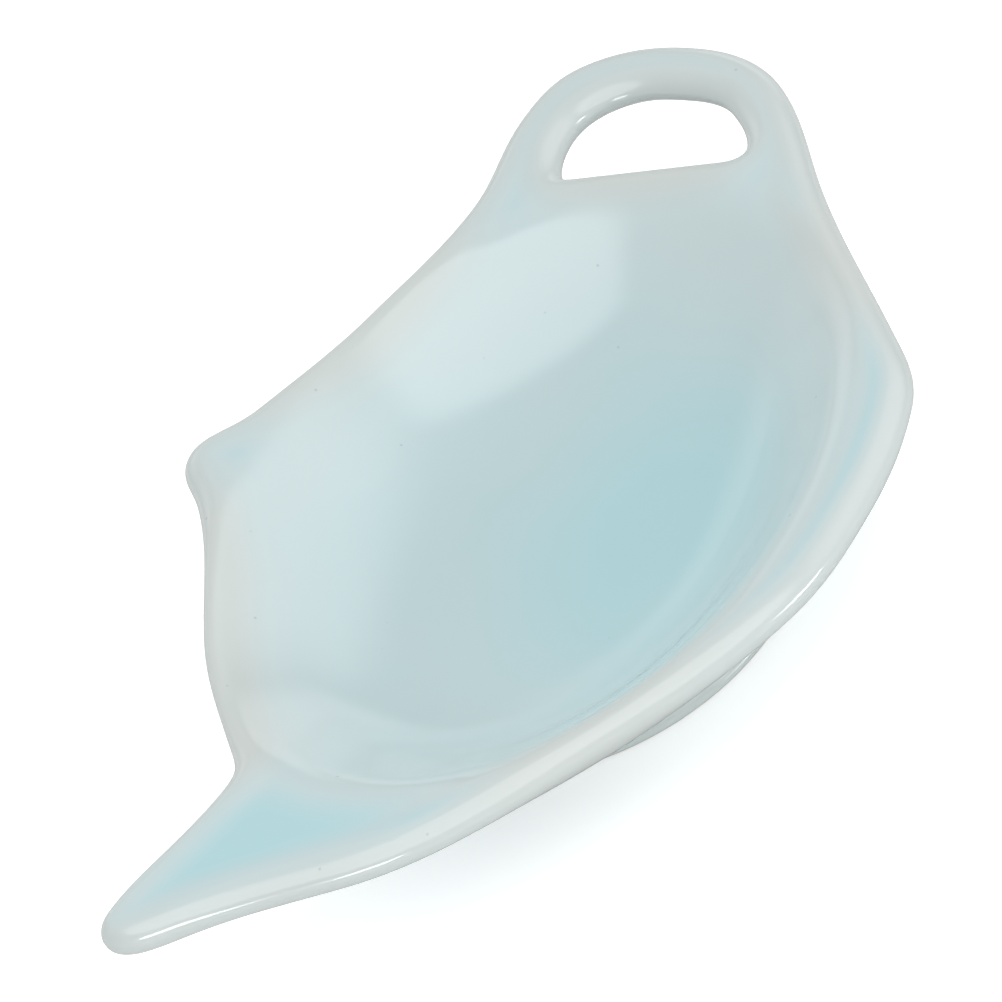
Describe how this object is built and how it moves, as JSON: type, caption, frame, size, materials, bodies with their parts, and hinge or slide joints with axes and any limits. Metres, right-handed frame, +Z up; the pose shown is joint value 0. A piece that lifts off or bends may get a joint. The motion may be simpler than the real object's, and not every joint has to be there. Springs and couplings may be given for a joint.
{
  "type": "tea bag holder",
  "caption": "Shallow glazed ceramic dish in the outline of a teapot, with an oval well for a steeped tea bag, a flat spout, a looped handle, a lid knob and a low foot ring.",
  "frame": {"origin": "on the table, under the middle of the dish's outline", "axes": "+X from the spout to the handle, +Y from the base edge to the lid knob, +Z up"},
  "size_m": [0.124, 0.08, 0.0174],
  "materials": {
    "pale_blue_glaze": "glossy pale blue glaze, bluer where it pools and whiter where it thins on the edges",
    "bare_clay": "matt unglazed clay"
  },
  "bodies": {
    "root": {"bowl": "pale_blue_glaze", "spout": "pale_blue_glaze", "handle_loop": "pale_blue_glaze", "lid_knob": "pale_blue_glaze", "foot_ring": "bare_clay"}
  },
  "joints": []
}
